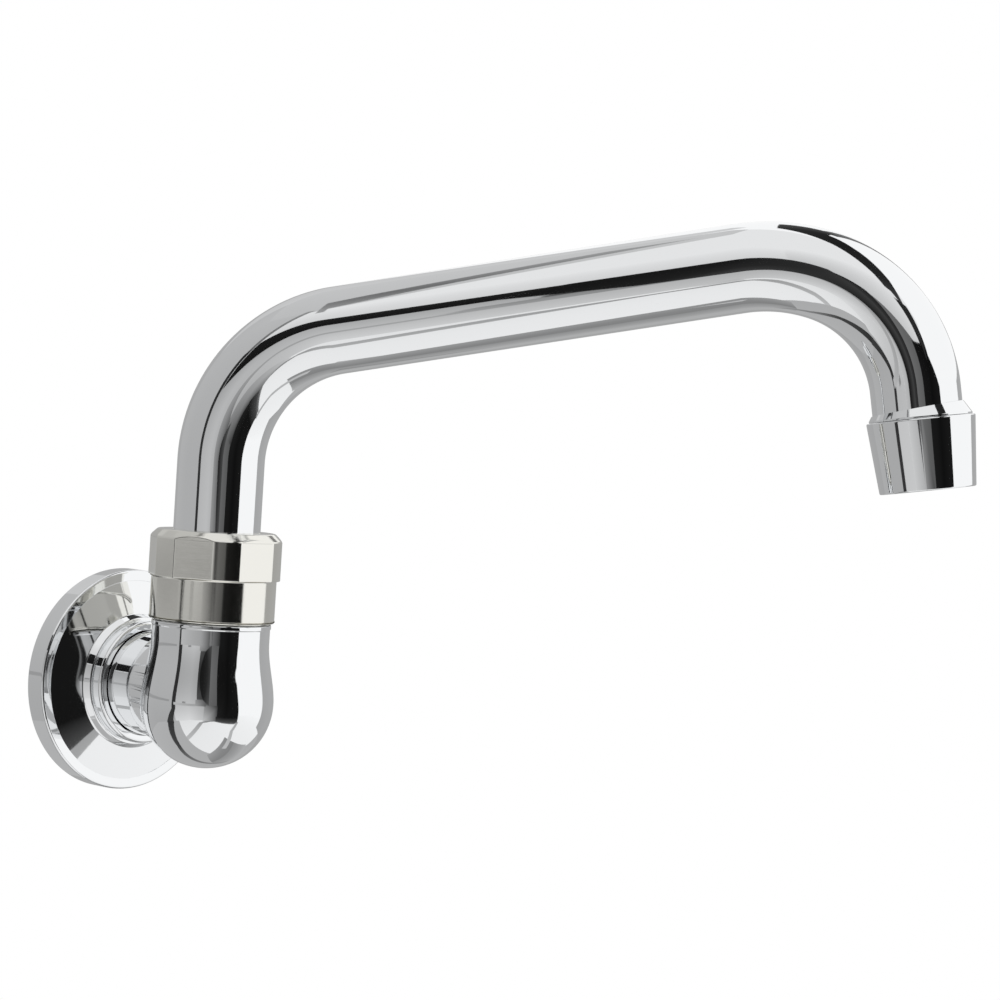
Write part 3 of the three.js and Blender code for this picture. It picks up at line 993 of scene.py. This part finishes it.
@dataclass
class PhotoCamera:
    """The photograph's view: place, lens and sensor in millimetres, turns in degrees, far clip in metres.

    The point of the swing axis at the leg's height is seen from there: across is how far it lies to the right
    of the picture's middle, up how far above it, and distance how far ahead.
    """

    azimuth: float = -45.665
    elevation: float = 1.367
    roll: float = 3.595
    across: float = -85.508
    up: float = -56.054
    distance: float = 875.86
    lens: float = 108.0
    sensor: float = 36.0
    far_clip: float = 50.0

    def build(self) -> None:
        """Makes the scene's camera."""
        azimuth, elevation, roll = (math.radians(v) for v in (self.azimuth, self.elevation, self.roll))
        back = Vector((math.sin(azimuth) * math.cos(elevation), -math.cos(azimuth) * math.cos(elevation),
                       math.sin(elevation)))
        level = Vector((0, 0, 1)).cross(back).normalized()
        upright = back.cross(level)
        right = math.cos(roll) * level + math.sin(roll) * upright
        top = math.cos(roll) * upright - math.sin(roll) * level
        place = -(right * self.across + top * self.up - back * self.distance)
        place.y -= LAYOUT.wall_to_axis
        data = bpy.data.cameras.new("photo_camera")
        data.lens = self.lens
        data.sensor_width = self.sensor
        data.clip_end = self.far_clip
        camera = new_object("photo_camera", data)
        turn = Matrix((right, top, back)).transposed().to_4x4()
        camera.matrix_world = Matrix.Translation(place * MM) @ turn
        bpy.context.scene.camera = camera


@dataclass(frozen=True)
class Card:
    """A card of the studio, which shows in the chrome and nowhere else.

    Its corners are in metres. A tone is the brightness that a corner has in the chrome, from 0 to 1, and
    the card fades evenly between its corners.
    """

    name: str
    corners: tuple[Vector, ...]
    tones: tuple[float, ...]

    @classmethod
    def upright(cls, name: str, away: float, *marks: tuple[float, float, float]) -> Card:
        """Describes a card that stands round the faucet.

        Args:
            name: The card's name.
            away: Distance of its corners from the upright line through the studio's middle.
            marks: Its corners in order, each as bearing, height and tone. A bearing is in degrees from
                straight out of the wall towards +X.

        Returns:
            The card.
        """
        corners = tuple(
            Vector((
                MIDDLE.x + away * math.sin(math.radians(bearing)),
                MIDDLE.y - away * math.cos(math.radians(bearing)),
                height,
            ))
            for bearing, height, _ in marks
        )
        return cls(name, corners, tuple(tone for _, _, tone in marks))

    @classmethod
    def level(cls, name: str, height: float, *marks: tuple[float, float, float]) -> Card:
        """Describes a card that hangs or lies level.

        Args:
            name: The card's name.
            height: Its height.
            marks: Its corners in order, each as X, Y and tone.

        Returns:
            The card.
        """
        corners = tuple(Vector((across, deep, height)) for across, deep, _ in marks)
        return cls(name, corners, tuple(tone for _, _, tone in marks))


def glow(tone: float) -> float:
    """Turns a tone in the chrome into the light that a card gives off.

    Args:
        tone: Brightness on screen, from 0 to 1.

    Returns:
        The emission strength.
    """
    return tone**SCREEN_CURVE / CHROME.color[1]


@dataclass
class Studio:
    """World, lamp, floor and cards."""

    floor_height: float = -1.7
    floor_size: float = 14.0
    floor_shade: float = 0.85
    floor_roughness: float = 0.9
    daylight: float = 0.85
    seen_white: float = 1.0
    lamp_size: float = 1.2
    lamp_power: float = 6.0
    lamp_place: tuple[float, float, float] = (-1.1, -1.4, 1.5)

    def build(self) -> None:
        """Makes the studio."""
        self.world()
        self.floor()
        self.lamp()
        for card in CARDS:
            self.stand(card)

    def stand(self, card: Card) -> None:
        """Puts up one card.

        Args:
            card: The card.
        """
        work = bmesh.new()
        face = work.faces.new([work.verts.new(corner) for corner in card.corners])
        shade = work.loops.layers.float_color.new("shade")
        for loop, tone in zip(face.loops, card.tones):
            loop[shade] = (glow(tone), glow(tone), glow(tone), 1)
        made = object_from(work, card.name)
        made.data.materials.append(self.card_material())
        made.visible_camera = False
        made.visible_diffuse = False
        made.visible_shadow = False

    def card_material(self) -> bpy.types.Material:
        """Makes the material that gives off the card's shade, once for all cards.

        Returns:
            The material.
        """
        known = bpy.data.materials.get("card_glow")
        if known:
            return known
        material = bpy.data.materials.new("card_glow")
        nodes, links = nodes_of(material)
        nodes.clear()
        shade = nodes.new("ShaderNodeVertexColor")
        shade.layer_name = "shade"
        light = nodes.new("ShaderNodeEmission")
        output = nodes.new("ShaderNodeOutputMaterial")
        links.new(shade.outputs["Color"], light.inputs["Color"])
        links.new(light.outputs["Emission"], output.inputs["Surface"])
        return material

    def seen_directly(self, nodes: bpy.types.Nodes, links: bpy.types.NodeLinks) -> bpy.types.NodeSocket:
        """Adds nodes that tell the rays of camera, metal and glass from those that light matt surfaces.

        Args:
            nodes: The nodes to add to.
            links: Their links.

        Returns:
            A socket that is 1 for rays that see the surface.
        """
        path = nodes.new("ShaderNodeLightPath")
        total = path.outputs["Is Camera Ray"]
        for name in ("Is Glossy Ray", "Is Transmission Ray"):
            both = nodes.new("ShaderNodeMath")
            both.operation = "MAXIMUM"
            links.new(total, both.inputs[0])
            links.new(path.outputs[name], both.inputs[1])
            total = both.outputs["Value"]
        return total

    def world(self) -> None:
        """Makes the white world."""
        world = bpy.data.worlds.new("studio_world")
        bpy.context.scene.world = world
        nodes, links = nodes_of(world)
        back = nodes["Background"]
        back.inputs["Color"].default_value = (1, 1, 1, 1)
        level = nodes.new("ShaderNodeMapRange")
        level.inputs["To Min"].default_value = self.daylight
        level.inputs["To Max"].default_value = self.seen_white
        links.new(self.seen_directly(nodes, links), level.inputs["Value"])
        links.new(level.outputs["Result"], back.inputs["Strength"])

    def floor(self) -> None:
        """Makes the pale floor."""
        work = bmesh.new()
        bmesh.ops.create_grid(work, x_segments=1, y_segments=1, size=self.floor_size / 2)
        bmesh.ops.translate(work, verts=work.verts, vec=(0, 0, self.floor_height))
        made = object_from(work, "pale_floor")
        material = bpy.data.materials.new("pale_floor")
        nodes, links = nodes_of(material)
        matt = nodes["Principled BSDF"]
        matt.inputs["Base Color"].default_value = (self.floor_shade, self.floor_shade, self.floor_shade, 1)
        matt.inputs["Roughness"].default_value = self.floor_roughness
        light = nodes.new("ShaderNodeEmission")
        light.inputs["Strength"].default_value = self.seen_white
        mix = nodes.new("ShaderNodeMixShader")
        links.new(self.seen_directly(nodes, links), mix.inputs["Fac"])
        links.new(matt.outputs["BSDF"], mix.inputs[1])
        links.new(light.outputs["Emission"], mix.inputs[2])
        links.new(mix.outputs["Shader"], nodes["Material Output"].inputs["Surface"])
        made.data.materials.append(material)

    def lamp(self) -> None:
        """Makes the soft lamp above and to the left, which models the matt pieces."""
        data = bpy.data.lights.new("soft_lamp", "AREA")
        data.shape = "SQUARE"
        data.size = self.lamp_size
        data.energy = self.lamp_power
        lamp = new_object("soft_lamp", data)
        lamp.location = self.lamp_place
        lamp.rotation_euler = (MIDDLE - lamp.location).to_track_quat("-Z", "Y").to_euler()
        lamp.visible_glossy = False


# Levels at which cards hang above the faucet or lie under it. The nearer ones cover the others.
CEILING = 1.4
FRAMES = 1.2
GROUND = -0.62
UNDER_RUN = -0.605
SHEETS = -0.6
SLANTS = -0.59

CARDS = (
    # The grey walls of the room, at the left, at the right and behind.
    Card.upright("far_left", 1.3,
                 (-180, -1.5, 0.62), (-140, -1.5, 0.6), (-140, 2.2, 0.74), (-180, 2.2, 0.74)),
    Card.upright("mid_left", 1.3,
                 (-140, -1.5, 0.6), (-100, -1.5, 0.6), (-100, 2.2, 0.74), (-140, 2.2, 0.74)),
    Card.upright("far_right", 1.3,
                 (106, -1.5, 0.6), (143, -1.5, 0.6), (143, 0.35, 0.65), (106, 0.35, 0.66)),
    Card.upright("back_right", 1.3,
                 (143, -1.5, 0.6), (180, -1.5, 0.6), (180, 0.6, 0.66), (143, 0.6, 0.66)),
    Card.upright("back_high", 1.3,
                 (143, 0.6, 0.75), (180, 0.6, 0.75), (180, 2.2, 0.8), (143, 2.2, 0.8)),
    Card.upright("grey_right", 1.25,
                 (74, -1.5, 0.6), (108, -1.5, 0.62), (108, 0.3, 0.66), (74, 0.3, 0.64)),
    # The dark corner at the left, with the light walls on this side of it.
    Card.upright("corner_line", 1.15,
                 (-105, -0.2, 0.2), (-98, -0.2, 0.2), (-98, 0.6, 0.18), (-104, 0.6, 0.18)),
    Card.upright("corner_foot", 1.15,
                 (-120, -0.62, 0.24), (-106, -0.62, 0.24), (-98, -0.2, 0.2), (-105, -0.2, 0.2)),
    Card.upright("corner_top", 1.15,
                 (-103, 0.6, 0.4), (-98, 0.6, 0.4), (-98, 1.4, 0.55), (-103, 1.4, 0.55)),
    Card.upright("light_left", 1.2,
                 (-100, -0.62, 0.82), (-74, -0.62, 0.84), (-74, 0.4, 0.64), (-100, 0.4, 0.6)),
    Card.upright("light_mid", 1.22,
                 (-74, -0.62, 0.84), (-40, -0.62, 0.7), (-40, 0.4, 0.5), (-74, 0.4, 0.64)),
    Card.upright("upper_left", 1.28,
                 (-100, 0.4, 0.78), (-54, 0.4, 0.8), (-54, 1.5, 0.9), (-100, 1.5, 0.9)),
    Card.upright("upper_mid", 1.28,
                 (-54, 0.3, 0.72), (-8, 0.3, 0.8), (-8, 1.5, 0.9), (-54, 1.5, 0.9)),
    # The dark band at the height of the run, which slopes down and fades towards the black wall.
    Card.upright("band_left", 0.6,
                 (-100, 0.2, 0.1), (-66, 0.2, 0.1), (-66, 0.35, 0.14), (-100, 0.37, 0.12)),
    Card.upright("band_slope", 0.58,
                 (-66, 0.2, 0.11), (-56, 0.04, 0.14), (-56, 0.33, 0.12), (-66, 0.35, 0.12)),
    Card.upright("band_end", 0.57,
                 (-56, 0.04, 0.14), (-45, -0.03, 0.3), (-45, 0.3, 0.2), (-56, 0.33, 0.12)),
    Card.upright("band_far", 1.13,
                 (-62, 0.1, 0.3), (-44, 0.1, 0.16), (-44, 0.42, 0.14), (-64, 0.42, 0.14)),
    Card.upright("band_fade", 1.13,
                 (-60, -0.04, 0.56), (-44, -0.04, 0.36), (-44, 0.1, 0.16), (-62, 0.1, 0.3)),
    # The black wall straight ahead, with its grey side, soft edge and foot.
    Card.upright("grey_wedge", 1.15,
                 (-46, -0.1, 0.4), (-24, -0.1, 0.33), (-24, 0.42, 0.36), (-46, 0.4, 0.42)),
    Card.upright("soft_edge", 1.1,
                 (-50, -0.62, 0.75), (-25, -0.62, 0.35), (-24, -0.06, 0.12), (-48, -0.06, 0.5)),
    Card.upright("black_left", 1.1,
                 (-25, -0.5, 0.14), (-8, -0.5, 0.1), (-8, 0.5, 0.08), (-28, 0.38, 0.1)),
    Card.upright("black_right", 1.1,
                 (-8, -0.5, 0.1), (18, -0.5, 0.1), (12, 0.28, 0.12), (-8, 0.5, 0.08)),
    Card.upright("black_foot", 1.1,
                 (-26, -0.64, 0.3), (20, -0.64, 0.3), (16, -0.42, 0.1), (-28, -0.42, 0.12)),
    # Low cards for the nut's flats and skirt, and the stripe under the band's end.
    Card.upright("nut_front", 1.0,
                 (-87, -0.03, 0.54), (-81, -0.03, 0.54), (-81, 0.004, 0.54), (-87, 0.004, 0.54)),
    Card.upright("nut_left", 1.0,
                 (-165, -0.029, 0.6), (-110, -0.029, 0.57), (-110, 0.002, 0.56), (-165, 0.002, 0.6)),
    Card.upright("nut_skirt", 1.0,
                 (-102, -0.09, 0.7), (-64, -0.09, 0.62), (-64, -0.03, 0.6), (-102, -0.03, 0.7)),
    Card.upright("stripe", 1.08,
                 (-64, -0.09, 0.62), (-46, -0.09, 0.36), (-46, 0.07, 0.3), (-64, 0.07, 0.55)),
    # Dark frames and lines overhead, which draw the fine lines along the top of the run.
    Card.upright("frame_right", 1.2,
                 (112, 0.35, 0.5), (119, 0.35, 0.5), (116, 1.6, 0.3), (108, 1.6, 0.3)),
    Card.upright("frame_low", 1.1,
                 (-13, 0.4, 0.18), (-3, 0.4, 0.18), (1, 0.9, 0.16), (-12, 0.9, 0.16)),
    Card.level("frame_front", FRAMES,
                 (-0.6, -2.07, 0.3), (-0.3, -2.07, 0.3), (0.3, -1.0, 0.16), (-0.05, -1.04, 0.16)),
    Card.level("frame_side", FRAMES,
                 (-0.05, -1.04, 0.16), (0.3, -1.0, 0.16), (0.55, -0.3, 0.14), (0.22, -0.35, 0.14)),
    Card.level("frame_turn", FRAMES,
                 (0.22, -0.35, 0.14), (0.55, -0.3, 0.14), (0.72, 0.05, 0.16), (0.42, 0.16, 0.2)),
    Card.level("frame_back", FRAMES,
                 (0.42, 0.16, 0.2), (0.72, 0.05, 0.16), (1.3, 0.45, 0.3), (1.0, 0.6, 0.3)),
    Card.level("line_left", FRAMES,
                 (-1.7, -0.3, 0.7), (-1.7, -0.38, 0.7), (-0.4, 0.1, 0.42), (-0.4, 0.18, 0.42)),
    Card.level("line_right", FRAMES,
                 (-0.4, 0.18, 0.42), (-0.4, 0.1, 0.42), (0.12, 0.26, 0.6), (0.12, 0.34, 0.6)),
    # The ceiling.
    Card.level("above_front", CEILING,
                 (-2.5, -2.5, 0.89), (0.1, -2.5, 0.89), (0.3, 0.3, 0.89), (-2.5, -0.5, 0.89)),
    Card.level("above_back", CEILING,
                 (-2.5, -0.5, 0.7), (0.3, 0.3, 0.76), (1.2, 2.5, 0.76), (-2.5, 2.5, 0.7)),
    # The ground, with the dark line across it.
    Card.level("floor_left", GROUND,
                 (-2, -2, 0.84), (-0.3, -2, 0.92), (-0.3, -0.05, 0.9), (-2, -0.05, 0.82)),
    Card.level("floor_right", GROUND,
                 (-0.3, -2, 0.92), (2, -2, 0.97), (2, -0.05, 0.95), (-0.3, -0.05, 0.9)),
    Card.level("floor_back", GROUND,
                 (-2, -0.05, 0.66), (2, -0.05, 0.66), (2, 2, 0.7), (-2, 2, 0.7)),
    Card.level("line_wide", SHEETS,
                 (-2.1, 0.35, 0.22), (-1.0, 0.16, 0.2), (-1.0, 0.42, 0.2), (-2.1, 0.9, 0.22)),
    Card.level("line_floor", SHEETS,
                 (-1.0, 0.16, 0.2), (-0.2, 0.17, 0.26), (-0.2, 0.25, 0.26), (-1.0, 0.42, 0.2)),
    Card.level("line_end", SHEETS,
                 (-0.2, 0.17, 0.26), (0.6, 0.28, 0.58), (0.6, 0.34, 0.58), (-0.2, 0.25, 0.26)),
    # Grey strips on the ground, which show along the under side of the run.
    Card.level("under_run", UNDER_RUN,
                 (0.09, -0.5, 0.54), (0.33, -0.35, 0.5), (0.33, 0.22, 0.5), (0.09, 0.0, 0.6)),
    Card.level("under_fade", UNDER_RUN,
                 (0.33, -0.35, 0.54), (0.7, -0.1, 0.68), (0.7, 0.5, 0.68), (0.33, 0.22, 0.56)),
    # Grey stripes and edges on the ground in front, which show in the bends and the round bottom.
    Card.level("slant", SLANTS,
                 (0.37, -1.2, 0.6), (0.46, -1.18, 0.6), (0.24, -0.69, 0.68), (0.16, -0.7, 0.68)),
    Card.level("slant_end", SLANTS,
                 (0.16, -0.7, 0.68), (0.24, -0.69, 0.68), (0.23, -0.2, 0.72), (0.16, -0.2, 0.72)),
    Card.level("sheet_edge", SHEETS,
                 (-0.41, -0.05, 0.7), (-0.32, -0.05, 0.72), (-0.67, -0.72, 0.6), (-0.78, -0.66, 0.6)),
    Card.level("sheet_turn", SHEETS,
                 (-0.78, -0.66, 0.6), (-0.67, -0.72, 0.6), (-0.52, -1.05, 0.4), (-0.62, -1.2, 0.4)),
    Card.level("sheet_foot", SHEETS,
                 (-0.6, -1.2, 0.36), (-0.5, -1.05, 0.4), (0.3, -1.06, 0.4), (0.3, -1.3, 0.3)),
)

NODE_FINISHES: dict[Finish, tuple[str, ...]] = {
    RUBBER: ("flange_gasket", "inlet_washer", "stem_o_ring_upper", "stem_o_ring_lower", "aerator_washer"),
    STAINLESS: ("collar_set_screw", "inlet_screen", "aerator_dome_screen", "outlet_screen_lower",
                "outlet_screen_upper"),
    ACETAL: ("lower_bearing_washer", "upper_bearing_washer", "aerator_flow_disc"),
    BRASS: ("swivel_foot",),
    GREY_PLASTIC: ("aerator_mixer",),
}


def main() -> None:
    """Builds the scene."""
    logging.basicConfig(level=logging.INFO, format="%(name)s: %(message)s")
    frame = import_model()
    wardrobe = Wardrobe()
    PhotoCamera().build()
    WallSide().build(wardrobe)
    Elbow().build(wardrobe)
    CouplingNut().build(wardrobe)
    Spout().build(wardrobe)
    for finish, names in NODE_FINISHES.items():
        for name in names:
            wardrobe.dress(frame["nodes"][name], finish)
    Studio().build()
    bpy.context.scene.view_settings.view_transform = "Standard"


if __name__ == "__main__":
    main()
